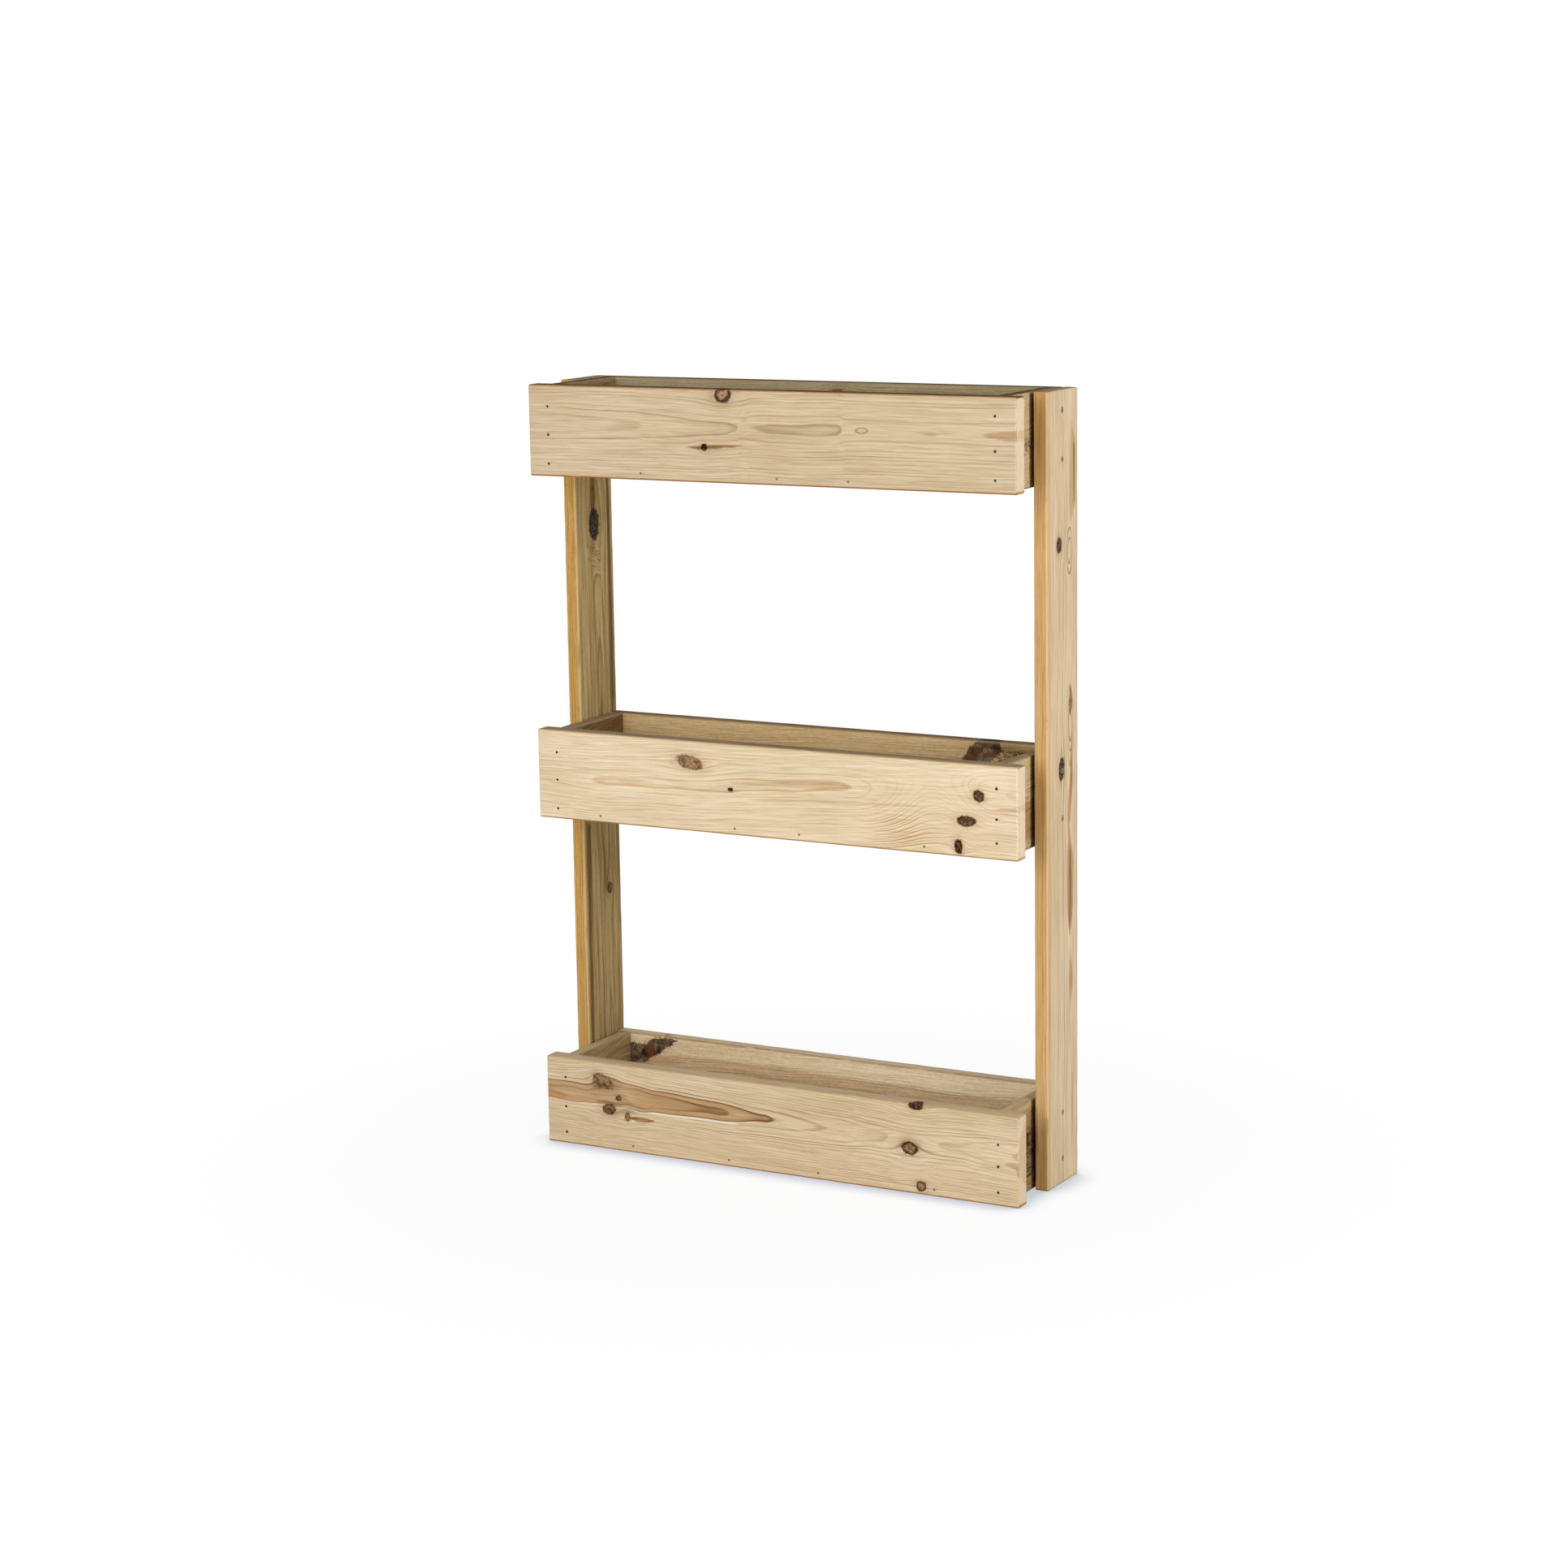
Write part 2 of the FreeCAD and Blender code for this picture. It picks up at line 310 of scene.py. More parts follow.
def tint_layer(rest, facing, deep, soiled, streaks, coats):
    """How strong each tint is at each point: streaks along the grain, coats over a side, soiled dents.

    coats are (direction of the side, its high or low end, tint, strength, start along the grain)."""
    along, across, _ = rest.T
    tint = {name: np.zeros_like(along) for name in TINTS}
    for name, strength, points in streaks:
        points = metres(points, 3)
        spine = between(along, [(point[0], point[1]) for point in points])
        half = between(along, [(point[0], point[2]) for point in points])
        inside = (points[0][0] <= along) & (along <= points[-1][0])
        cover = strength * np.clip(STREAK_EDGE - np.abs(across - spine) / half, 0, 1) * inside
        if name == "stain_and_shade":
            cover *= 1 - STAIN_AND_SHADE_FADE * deep
        tint[name] = np.maximum(tint[name], cover)
    for side, end, name, strength, start in coats:
        here = (facing[:, side] == end) & (along >= start * MM)
        tint[name][here] = np.maximum(tint[name][here], strength)
    tint["stain_and_shade"] = np.maximum(tint["stain_and_shade"], soiled)
    return np.column_stack([tint[name] for name in TINTS])


TURNED_OVER = ((0, 2, 1), (2, 1, 0), (1, 0, 2))   # directions that turn a board's faces inside out
DENT_START, DENT_FULL = 1.35, 0.9   # where the wood dips around a head, in the head's radii
# Mesh lines across a knot, a nail, a hill in the rings and a crack, by its half size
KNOT_SHARES = np.array([-1.5, -1.15, -0.85, -0.5, 0, 0.5, 0.85, 1.15, 1.5])
NAIL_SHARES = np.array([-DENT_START, -DENT_FULL, 0, DENT_FULL, DENT_START])
HILL_SHARES = np.linspace(-1.8, 1.8, 9)
CRACK_SHARES = np.array([-1.3, 0, 1.3])
CRACK_REACH = 0.9 * MM        # half width of a drying crack
NAIL_SINK = 0.6 * MM          # how far the wood is pressed in around a fastener's head
LOWER_ROW = 13 * MM           # nails lower than this on a board are the row into the floor slat
CLEAN_DENT = 0.35             # how dark the wood is around that row
PLANE_WAVE = 0.25 * MM        # depth of the waves that the plane left
PLANE_WAVE_LENGTH = 90 * MM
PLANE_SLANT = 0.6             # how far they lean across the board
PLANE_SEED, PITH_SEED = 50, 90   # added to a board's seed
PITH_SWAY = 2 * MM            # how far the log's middle sways along a board
PITH_SWAY_LENGTH = 160 * MM
BULGE_FADE = 0.85             # how much of the rings' bulge is gone on the board's other side
LOG_SHIFT = 1.7               # metres along the log to the next board, so that no two match
RUBBED_REACH = 1.6 * ARRIS    # how far in from an edge the wood is rubbed
EVEN_FLAME = [(0, 1), (1, 1)]   # for a board that has no flame of its own


def plank(node, axes, seed, heart, step, knots=(), heads=(), streaks=(), coats=(), cracks=(), weather=0.5):
    """A pine board in the place of a CAD board.

    axes are the directions along the grain, across it and through the board, and places are given
    from the board's low corner. weather is how grey the upper side has turned and how much painted shade
    darkens it."""
    low, high = (np.array(corner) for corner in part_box(node))
    size = (high - low)[list(axes)]
    length, width, thick = size
    knots = metres(knots, 4)
    cracks = metres(cracks, 4)
    hills = metres(heart.get("hills", ()), 5)
    lines = []
    for side, rim in enumerate((SAWN_EDGE, ARRIS, ARRIS)):
        spots = []
        if side < 2:
            spots += [(knot[side], knot[2 + side], KNOT_SHARES) for knot in knots]
            spots += [(head[side], head[3], NAIL_SHARES) for head in heads]
            spots += [(hill[side], hill[2 + side], HILL_SHARES) for hill in hills]
        if side == 1:
            spots += [(crack[1], CRACK_REACH, CRACK_SHARES) for crack in cracks]
        lines.append(grid_lines(size[side], rim, step, spots))
    index, quads = box_grid([len(line) for line in lines])
    rest = np.column_stack([line[index[:, side]] for side, line in enumerate(lines)])
    last = np.array([len(line) - 1 for line in lines])
    facing = np.where(index == last, 1, 0) - np.where(index == 0, 1, 0)
    along = rest[:, 0]
    across, through = eased_edges(rest, size, seed).T

    # The broad sides are a little hollow: plane waves, knots, cracks, and nails driven under the face
    turn = heart.get("turn", 1)
    deep = rest[:, 2] / thick if turn > 0 else 1 - rest[:, 2] / thick
    knot, bend, knot_sink = knot_layers(rest, deep, knots)
    waves = slow_waves(along + across * PLANE_SLANT, seed + PLANE_SEED, PLANE_WAVE_LENGTH)
    sink = knot_sink + PLANE_WAVE * (1 + waves) / 2
    pressed = np.zeros_like(along)
    soiled = np.zeros_like(along)
    for place, height, side, radius in heads:
        away = np.hypot(along - place, rest[:, 1] - height)
        near = np.where(facing[:, 2] == side, eased(away, radius * DENT_START, radius * DENT_FULL), 0)
        pressed = np.maximum(pressed, near)
        soiled = np.maximum(soiled, near * (CLEAN_DENT if height < LOWER_ROW else 1))
    for place, height, reach, crack_depth in cracks:
        run = np.clip(1 - np.abs(along - place) / reach, 0, 1)
        sink += crack_depth * run * np.clip(1 - np.abs(rest[:, 1] - height) / CRACK_REACH, 0, 1)
    sink += NAIL_SINK * pressed
    broad = facing[:, 2] * eased(np.minimum(across, width - across), 0, 2 * ARRIS)
    through = through - np.clip(sink, 0, None) * broad

    # Where each point lay in the log, with the rings bulging round branches
    middle = between(along, [(0, heart["low"] * MM), (length, heart["high"] * MM)])
    middle += PITH_SWAY * slow_waves(along, seed + PITH_SEED, PITH_SWAY_LENGTH)
    behind = heart["behind"] * MM - turn * through + between(along, metres(heart["rises"], 2))
    bulge = np.zeros_like(along)
    line_strength = np.ones_like(along)
    for place, height, reach_along, reach_across, hill, darker in hills:
        near = np.exp(-((along - place) / reach_along) ** 2 - ((rest[:, 1] - height) / reach_across) ** 2)
        near *= 1 - BULGE_FADE * deep
        bulge += hill * near
        line_strength += darker * near
    from_middle = across - bend - middle
    log = np.column_stack([along + seed * LOG_SHIFT, from_middle, behind])
    ring = np.column_stack([from_middle, behind + bulge, line_strength])

    # Tints, wear, and painted shade on the upper and lower sides
    tint = tint_layer(rest, facing, deep, soiled, streaks, coats)
    edge_gap = np.minimum(rest, size - rest)[:, 1:].max(axis=1)
    level_side = facing[:, axes.index(2)]
    # Upper sides: weathering with painted shade on it; undersides: painted shade
    facing_grey_and_shade = np.where(level_side > 0, weather, -eased(rest[:, axes.index(2)], ARRIS, 0))
    flame = between(along, metres(heart.get("flame", EVEN_FLAME), 1))
    wear_and_shade = np.column_stack([np.abs(facing[:, 0]), eased(edge_gap, RUBBED_REACH, 0), facing_grey_and_shade, flame])
    points = np.empty_like(rest)
    points[:, axes] = low[list(axes)] + np.column_stack([along, across, through])
    faces = (quads[:, ::-1] if axes in TURNED_OVER else quads).tolist()
    layers = {"log": log, "ring": ring, "knot": knot, "tint": tint, "wear_and_shade": wear_and_shade}
    piece = mesh_piece("pine_" + node, points, faces, layers)
    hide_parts(node)
    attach(piece, "root")
    return piece


class Field:
    """A value that varies over a surface, with plain arithmetic."""

    def __init__(self, tree, socket):
        self.tree = tree
        self.socket = socket

    def step(self, operation, *others):
        return add_node(self.tree, "ShaderNodeMath", dict(enumerate((self, *others))), operation=operation)

    def __add__(self, other):
        return self.step("ADD", other)

    def __sub__(self, other):
        return self.step("SUBTRACT", other)

    def __mul__(self, other):
        return self.step("MULTIPLY", other)

    def __truediv__(self, other):
        return self.step("DIVIDE", other)

    def eased(self, low, high):
        limits = {0: self, 1: low, 2: high}
        return add_node(self.tree, "ShaderNodeMapRange", limits, interpolation_type="SMOOTHSTEP")


def add_node(tree, kind, inputs, output=0, **settings):
    """Adds a node, feeds it with fields or plain values, and gives one of its outputs."""
    node = tree.nodes.new(kind)
    for key, value in settings.items():
        setattr(node, key, value)
    for key, value in inputs.items():
        if isinstance(value, Field):
            tree.links.new(value.socket, node.inputs[key])
        else:
            node.inputs[key].default_value = value
    return Field(tree, node.outputs[output])


def layer(tree, name, output="Vector"):
    """A point layer of the mesh."""
    return add_node(tree, "ShaderNodeAttribute", {}, output, attribute_name=name)


def parts(field):
    """The three parts of a vector field."""
    return [add_node(field.tree, "ShaderNodeSeparateXYZ", {0: field}, side) for side in range(3)]


def noise(place, stretch, detail=2.0, rough=0.5):
    """Random cloudiness between 0 and 1, stretched by a number per metre each way."""
    scaled = add_node(place.tree, "ShaderNodeVectorMath", {0: place, 1: stretch}, operation="MULTIPLY")
    inputs = {"Vector": scaled, "Scale": 1.0, "Detail": detail, "Roughness": rough}
    return add_node(place.tree, "ShaderNodeTexNoise", inputs)


def blend(share, first, second, how="MIX"):
    """Two colours mixed by a field."""
    inputs = {0: share, 6: first, 7: second}
    return add_node(share.tree, "ShaderNodeMix", inputs, 2, data_type="RGBA", blend_type=how)


def feed(node, fields):
    """Lets fields drive a node's sockets, by their names."""
    for name, field in fields.items():
        field.tree.links.new(field.socket, node.inputs[name])


def curve(field, points):
    """A field passed through a curve of given (from, to) points."""
    node = field.tree.nodes.new("ShaderNodeFloatCurve")
    line = node.mapping.curves[0]
    while len(line.points) < len(points):
        line.points.new(0.5, 0.5)
    for point, place in zip(line.points, points):
        point.location = place
    node.mapping.update()
    feed(node, {"Value": field})
    return Field(field.tree, node.outputs[0])


def new_finish(name):
    """A new material, its nodes and its shader."""
    material = bpy.data.materials.new(name)
    material.use_nodes = True
    return material, material.node_tree, material.node_tree.nodes["Principled BSDF"]


def rgb(red, green, blue):
    """A colour as a screen shows it, 0 to 255, in the renderer's light values."""
    shown = [part / 255 for part in (red, green, blue)]
    return (*[part / 12.92 if part <= 0.04045 else ((part + 0.055) / 1.055) ** 2.4 for part in shown], 1.0)


# Colours of pine. A pair is mixed by the figure of the wood, and a tone darkens what it lies on
FIBRE_TONES = (1.05, 1.05, 1.05, 1), (0.84, 0.8, 0.74, 1)
STREAK_TONES = (1.02, 1.02, 1.02, 1), (0.94, 0.92, 0.88, 1)
CLOUD_TONES = (1.03, 1.03, 1.03, 1), (0.95, 0.92, 0.87, 1)
TORN_TONES = (1.08, 1.08, 1.08, 1), (0.82, 0.78, 0.73, 1)
RESIN_CANAL = rgb(140, 108, 70)
HEARTWOOD_TONE = rgb(220, 198, 174)
SAPWOOD = rgb(244, 232, 208)
HONEY_TONE = rgb(243, 218, 172)
COLLAR_TONE = rgb(206, 176, 134)
SOUND_KNOT = rgb(204, 168, 126), rgb(140, 96, 62)
DEAD_KNOT = rgb(122, 80, 50), rgb(42, 26, 18)
PITCHY_KNOT = rgb(92, 88, 54), rgb(18, 17, 12)
KNOT_RIM = rgb(54, 36, 27)
BARK = rgb(40, 26, 18), rgb(104, 68, 44)
LICHEN = rgb(128, 132, 102)
# This tone darkens real stains, and also the painted shade in the slits, the corners and the shaded inner
# sides
STAIN_AND_SHADE_TONE = rgb(150, 135, 102)
END_WOOD = rgb(240, 220, 192), rgb(204, 164, 122)
END_HEARTWOOD = rgb(222, 172, 122)
END_PORE_TONE = rgb(186, 140, 98)
# Darkens the upper sides: grey weathering together with painted shade
UPPER_GREY_AND_SHADE_TONE = rgb(100, 85, 58)
RUBBED = rgb(186, 134, 82)
# Painted shade on the undersides and lower arrises
UNDERSIDE_SHADE_TONE = rgb(216, 190, 154)
PLANER_MARKS = 2.6 * MM       # from one mark of the planer's knives to the next
GRAIN_RELIEF = 0.25 * MM
PLANED_SHINE = 0.06           # dry planed pine is nearly matt


def pine(name, early, late, ring, lines=0.8, heart_radius=70 * MM, heart_brown=0.0, rubbed=RUBBED,
         under_shade=UNDERSIDE_SHADE_TONE, rough=0.0):
    """Planed pine: growth rings round the log's middle, fibres, knots, heartwood, bark and wear.

    early and late are the colours of spring and summer wood, ring is a year's growth, lines the
    strength of the summer lines, and heart_brown how brown the log is inside of heart_radius, where
    one line always shows. rubbed is the colour of the arrises, and under_shade the painted shade on the
    undersides and lower arrises.
    rough is how much of the saw's tearing was left."""
    material, tree, shader = new_finish(name)
    log = layer(tree, "log")
    along, across, _ = parts(log)

    # Growth rings: pale spring wood that darkens to a thin summer line
    wander = (noise(log, (2.2, 16, 16)) - 0.5) * (0.9 * MM) + (noise(log, (16, 80, 80)) - 0.5) * (0.3 * MM)
    ring_across, ring_behind, line_strength = parts(layer(tree, "ring"))
    radius = (ring_across * ring_across + ring_behind * ring_behind).step("SQRT") + wander
    years = (radius - heart_radius) / ring
    years = years + (years * 1.9).step("SINE") * 0.22
    summer = curve(years.step("FRACT"), [(0, 0), (0.45, 0.07), (0.74, 0.34), (0.9, 1), (0.96, 0.4), (1, 0)])
    good_year = add_node(tree, "ShaderNodeTexWhiteNoise", {"W": years.step("FLOOR")}, noise_dimensions="1D")
    good_year = (good_year * good_year).step("MAXIMUM", (years + 0.1).step("ABSOLUTE").eased(0.8, 0.3))
    patch = noise(log, (6, 55, 55), 3.0).eased(0.32, 0.68)
    summer = summer * (good_year * 0.7 + 0.42) * (patch * 0.55 + 0.55)

    # Fibres and streaks
    fibre = noise(log, (30, 1500, 1500), 3.0, 0.6)
    dash = noise(log, (15, 700, 700), 2.0, 0.6)
    streak = noise(log, (4, 130, 130), 3.0, 0.6)
    cloud = noise(log, (3, 11, 11), 2.0)
    colour = blend(summer * line_strength * lines, early, late)
    tone = blend(dash.eased(0.38, 0.68), *FIBRE_TONES)
    colour = blend(fibre.eased(0.1, 0.5), colour, tone, "MULTIPLY")
    tone = blend(streak.eased(0.36, 0.7), *STREAK_TONES)
    colour = blend(patch * 0.4 + 0.6, colour, tone, "MULTIPLY")
    tone = blend(cloud.eased(0.3, 0.7), *CLOUD_TONES)
    colour = blend(fibre * 0.2 + 0.8, colour, tone, "MULTIPLY")
    canal = noise(log, (60, 1900, 1900), 1.0).eased(0.66, 0.76)
    colour = blend(canal * 0.3, colour, RESIN_CANAL)
    torn = noise(log, (130, 380, 380), 3.0, 0.65)
    tone = blend(torn.eased(0.36, 0.64), *TORN_TONES)
    colour = blend((patch * 0.4 + 0.6) * rough, colour, tone, "MULTIPLY")

    # Heartwood, streaks of resin and the honey of older faces
    tint = layer(tree, "tint", "Color")
    heart, bark, stain_and_shade = parts(tint)
    honey = layer(tree, "tint", "Alpha")
    heart = heart + (streak - 0.5) * 0.35
    brown = heart.eased(0.3, 0.8)
    past_heart = radius - heart_radius + (dash - 0.5) * (0.6 * MM)
    flame = layer(tree, "wear_and_shade", "Alpha")
    inside = past_heart.eased(0.1 * MM, -0.3 * MM) * (streak * 0.7 + 0.6)
    brown = brown.step("MAXIMUM", inside * flame * heart_brown)
    colour = blend(brown, colour, HEARTWOOD_TONE, "MULTIPLY")
    sap_line = past_heart.eased(-0.2 * MM, 0.3 * MM) * past_heart.eased(1.4 * MM, 0.6 * MM)
    sap_line = sap_line * across.eased(-2 * MM, -8 * MM)
    colour = blend(sap_line * flame.eased(0.87, 0.98) * heart_brown * 0.8, colour, SAPWOOD)
    colour = blend(honey * (streak * 0.7 + 0.6), colour, HONEY_TONE, "MULTIPLY")

    # Knots: a mottled branch core, a dark broken rim, and a stained collar
    away, dark, rim = parts(layer(tree, "knot"))
    place = add_node(tree, "ShaderNodeTexCoord", {}, "Object")
    mottle = noise(place, (170, 170, 170), 4.0, 0.66)
    away = away + (mottle - 0.5) * 0.85
    core = away.eased(1.1, 0.92)
    collar = away.eased(2.3, 1.0)
    rim_line = away.eased(0.48, 0.9) * away.eased(1.22, 1.02) * (mottle * 1.1 + 0.35)
    branch_rings = (away * 19.0).step("SINE") * 0.1 + 0.9
    colour = blend(collar * 0.3, colour, COLLAR_TONE, "MULTIPLY")
    speck = noise(place, (230, 230, 230), 3.0, 0.65)
    sound = blend(speck.eased(0.42, 0.66), *SOUND_KNOT)
    dead = blend(speck.eased(0.42, 0.56), *DEAD_KNOT)
    pitchy = blend(speck.eased(0.4, 0.62), *PITCHY_KNOT)
    dead = blend((dark - 1.0).eased(0, 1), dead, pitchy)
    shade = add_node(tree, "ShaderNodeCombineXYZ", {0: branch_rings, 1: branch_rings, 2: branch_rings})
    branch = blend(core, blend(dark, sound, dead), shade, "MULTIPLY")
    colour = blend(core, colour, branch)
    colour = blend(rim_line * rim, colour, KNOT_RIM)

    # Bark left at an edge, stains and painted shade, sawn ends, rubbed arrises, upper edges greyed
    # by weather and darkened by painted shade, and painted shade on the undersides
    scaly = noise(log, (150, 240, 240), 5.0, 0.7)
    flakes = noise(log, (70, 130, 130), 3.0)
    bark_cover = (bark + (scaly - 0.5) * 1.3).eased(0.4, 0.62)
    bark_colour = blend(flakes.eased(0.4, 0.58), *BARK)
    lichen = noise(log, (60, 120, 120), 4.0, 0.65).eased(0.52, 0.6)
    bark_colour = blend(lichen * 0.7, bark_colour, LICHEN)
    colour = blend(bark_cover * 0.92, colour, bark_colour)
    # The stain tint holds real stains, and also painted shade in the slit beside a post, in the corner at
    # the back board and on shaded inner sides
    stained_and_shaded = (stain_and_shade + (streak - 0.5) * 0.9).eased(0.22, 0.8) * (dash * 0.5 + 0.7)
    colour = blend(stained_and_shaded, colour, STAIN_AND_SHADE_TONE, "MULTIPLY")
    sawn, arris, upper = parts(layer(tree, "wear_and_shade"))
    sawn = sawn.eased(0.3, 0.8)
    pores = noise(log, (20, 620, 620), 3.0, 0.7)
    end_wood = blend(summer * 0.8, *END_WOOD)
    end_wood = blend(brown * 0.5, end_wood, END_HEARTWOOD)
    colour = blend(sawn * 0.8, colour, end_wood)
    colour = blend(sawn * pores.eased(0.45, 0.75) * 0.35, colour, END_PORE_TONE, "MULTIPLY")
    worn = arris.eased(0.35, 0.9) * noise(log, (30, 60, 60), 3.0).eased(0.22, 0.5)
    # Upper sides greyed by weather and darkened by painted shade
    colour = blend(upper * (streak * 0.6 + 0.6), colour, UPPER_GREY_AND_SHADE_TONE, "MULTIPLY")
    colour = blend(worn * (core * -0.8 + 0.85), colour, rubbed)
    # Painted shade on the undersides and lower arrises
    colour = blend((upper * -1.0).eased(0.04, 0.6), colour, under_shade, "MULTIPLY")

    # Relief and roughness
    height = summer * 0.5 + fibre * 0.5 + (dash - 0.5) * 0.4 - rim_line * rim * 1.2 + sawn * pores * 1.2
    planed = (along * (2 * math.pi / PLANER_MARKS)).step("SINE") * 0.05
    height = height + planed + bark_cover * scaly * 2.5 + torn * (rough * 2.0)
    relief = {"Strength": 0.55, "Distance": GRAIN_RELIEF, "Height": height}
    bump = add_node(tree, "ShaderNodeBump", relief, "Normal")
    greyed = upper.step("MAXIMUM", 0.0)
    roughness = fibre * 0.16 - summer * 0.1 - core * 0.1 + bark_cover * 0.15 + greyed * 0.4 + 0.58
    feed(shader, {"Base Color": colour, "Roughness": roughness, "Normal": bump})
    shader.inputs["Specular IOR Level"].default_value = PLANED_SHINE
    return material


front_pines = {
    "top": pine(
        "pine_front_top", rgb(219, 199, 168), rgb(160, 128, 90), 3.2 * MM,
        lines=0.65, heart_radius=74 * MM,
    ),
    "middle": pine(
        "pine_front_middle", rgb(239, 221, 191), rgb(204, 158, 102), 2.5 * MM,
        lines=0.55, heart_radius=72 * MM, rubbed=rgb(208, 178, 126),
    ),
    "bottom": pine(
        "pine_front_bottom", rgb(228, 208, 176), rgb(140, 106, 70), 1.8 * MM,
        heart_radius=66 * MM, heart_brown=1.0, rubbed=rgb(200, 164, 116), under_shade=rgb(212, 170, 120),
    ),
}
for seed, trough in enumerate(TROUGHS, start=1):
    node = trough + "_front_board"
    board = plank(
        node, ALONG_X, seed, FRONT_HEARTS[trough], FRONT_STEP,
        knots=FRONT_KNOTS[trough], heads=heads_on(node, trough + "_front_nails", ALONG_X),
        streaks=FRONT_STREAKS[trough], cracks=FRONT_CRACKS[trough], weather=TOP_GREY_AND_SHADE[trough],
    )
    board.data.materials.append(front_pines[trough])

# End boards: short pine boards that close the troughs' ends, with the grain running from front to
# back. The front and back boards are nailed into their end grain.
ALONG_Y = (1, 2, 0)           # grain along Y, width up Z, thickness through X
INSIDE_STEP = 9 * MM          # mesh spacing on the boards inside
FIRST_END = 10                # seed of the first end board
END_KNOTS = {
    "top_left": [(96, 44, 9, 8, 0, 0.5, 0.5)],
    "top_right": [(120, 96, 8, 7, 0, 0.6, 0.5)],
    "middle_left": [(60, 92, 7, 6, 0, 0.7, 0.5)],
    "middle_right": [(34, 66, 10, 9, 0.2, 0.7, 0.5)],
    "bottom_left": [(104, 88, 11, 8, 0, 0.4, 0.6)],
    "bottom_right": [(48, 92, 8, 7, 0, 0.8, 0.5)],
}
END_STREAKS = {
    "top_right": [("bark", 0.5, [(0, 66, 16), (40, 64, 20), (90, 60, 2)])],
    "middle_right": [("heart", 0.9, [(0, 40, 34), (80, 44, 30), (155, 40, 30)])],
    "bottom_right": [
        ("heart", 1.2, [(0, 60, 60), (155, 60, 60)]),
        ("bark", 0.58, [(0, 66, 60), (60, 60, 50), (100, 60, 1)]),
    ],
}
# Painted shade in the corner at the back board
BACK_CORNER_SHADE = ("stain_and_shade", 1.2, [(143, 70, 70), (149, 70, 70), (155, 70, 70)])
SLIT_SHADE_START = 66               # from here on the end boards' outer sides lie in the slit beside a post, where painted shade darkens them fully
INNER_SHADE = {"top_left": 0.6, "middle_left": 0.8, "bottom_left": 0.5}   # painted shade on the sides inside a trough
INSIDE_RUBBED = rgb(166, 142, 104)
INSIDE_ROUGH = 0.6
end_pine = pine(
    "pine_end_boards", rgb(206, 186, 148), rgb(158, 126, 84), 2.4 * MM,
    rubbed=INSIDE_RUBBED, rough=INSIDE_ROUGH,
)
for seed, (place, knots) in enumerate(END_KNOTS.items(), start=FIRST_END):
    node = place + "_end_board"
    trough = place.split("_")[0]
    heart = dict(low=60 + 3 * (seed - FIRST_END), high=84, behind=48, rises=[(0, 0), (90, 1.5), (155, -1)])
    outer = -1 if place.endswith("left") else 1
    # Painted shade: full on the outer side in the slit, and on the inner side of the left boards
    coats = [(2, outer, "stain_and_shade", 1, SLIT_SHADE_START), (2, -outer, "stain_and_shade", INNER_SHADE.get(place, 0), 0)]
    board = plank(
        node, ALONG_Y, seed, heart, INSIDE_STEP,
        knots=knots, heads=heads_on(node, trough + "_end_nails", ALONG_Y), coats=coats,
        streaks=[BACK_CORNER_SHADE, *END_STREAKS.get(place, ())], weather=TOP_GREY_AND_SHADE[trough] ** 2,
    )
    board.data.materials.append(end_pine)

# Floor slats: two pine slats to each trough, with a drain gap between them. Each is nailed
# through the long board beside it and through the end boards.
FLAT_ALONG_X = (0, 1, 2)      # grain along X, width along Y, thickness up Z
SLAT_KNOTS = [(120, 30, 9, 8, 0, 0.6, 0.5), (455, 48, 12, 9, 0.2, 0.4, 0.6), (640, 20, 7, 6, 0, 0.9, 0.5)]
SLAT_SHIFT = 37               # the same knots lie further along in each next slat,
SLAT_KNOT_START = 19          # from here
SLAT_KNOT_RUN = 700           # and over this length
SLAT_HEART = dict(low=28, high=44, behind=52, rises=[(0, 0), (200, 2), (430, -2), (738, 1)])
SLAT_WEATHER = 0.4
FIRST_SLAT = 20               # seed of the first slat
slat_pine = pine("pine_floor_slats", rgb(206, 184, 148), rgb(160, 128, 88), 2.6 * MM, rubbed=INSIDE_RUBBED)
slats = [f"{trough}_{row}_slat" for trough in TROUGHS for row in ("front", "rear")]
for number, node in enumerate(slats):
    knots = []
    for place, *form in SLAT_KNOTS:
        knots.append(((place + SLAT_SHIFT * number) % SLAT_KNOT_RUN + SLAT_KNOT_START, *form))
    board = plank(
        node, FLAT_ALONG_X, FIRST_SLAT + number, SLAT_HEART, INSIDE_STEP,
        knots=knots, weather=SLAT_WEATHER,
    )
    board.data.materials.append(slat_pine)

